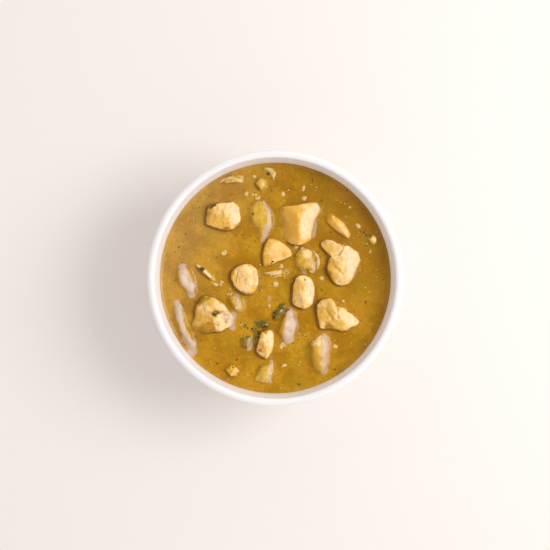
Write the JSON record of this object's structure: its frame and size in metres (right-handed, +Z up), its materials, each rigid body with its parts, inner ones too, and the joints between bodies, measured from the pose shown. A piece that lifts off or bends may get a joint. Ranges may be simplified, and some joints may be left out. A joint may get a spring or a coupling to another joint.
{
  "type": "bowl of green chicken chili",
  "caption": "Round white soup bowl on a foot ring, filled near its rim with olive-gold gravy that holds diced chicken, potato, onion and green chile.",
  "frame": {"origin": "centre of the foot ring's resting plane, on the bowl's axis", "axes": "+Z up the bowl's axis through its mouth; +X and +Y level, with the largest potato block towards +Y and the long sunk strip towards -X"},
  "size_m": [0.145, 0.145, 0.062],
  "materials": {
    "porcelain": "clear gloss glaze on white porcelain",
    "gravy": "wet and glossy, thick, with herb and pepper specks",
    "chicken": "cooked, fibrous and moist",
    "potato": "cooked, smooth cut faces, moist",
    "onion": "cooked soft, wet",
    "chile": "roasted green skin, wet",
    "coated": "under a glossy coat of the gravy"
  },
  "bodies": {
    "root": {"bowl": "porcelain", "gravy": "gravy", "chicken_cube": "chicken", "chicken_lobed": "chicken", "chicken_folded": "chicken", "chicken_barrel": "chicken", "chicken_winged": "chicken", "chicken_fibrous": "chicken", "chicken_tapered": "chicken", "chicken_shred": "chicken", "potato_block": "potato", "potato_wedge": "potato", "potato_sliver": "potato", "potato_bit": "potato", "potato_corner": "potato", "onion_bud": "onion", "onion_petal": "onion", "onion_strip": "onion", "onion_slab": "onion", "chile_skin": "chile", "chile_bit": "chile", "chile_square": "chile", "coated_chunk_top": "coated", "coated_chunk_mid": "coated", "coated_chunk_left": "coated", "coated_chunk_low": "coated", "coated_chunk_small": "coated", "coated_strip_left": "coated", "coated_strip_right": "coated", "coated_strip_mid": "coated"}
  },
  "joints": []
}
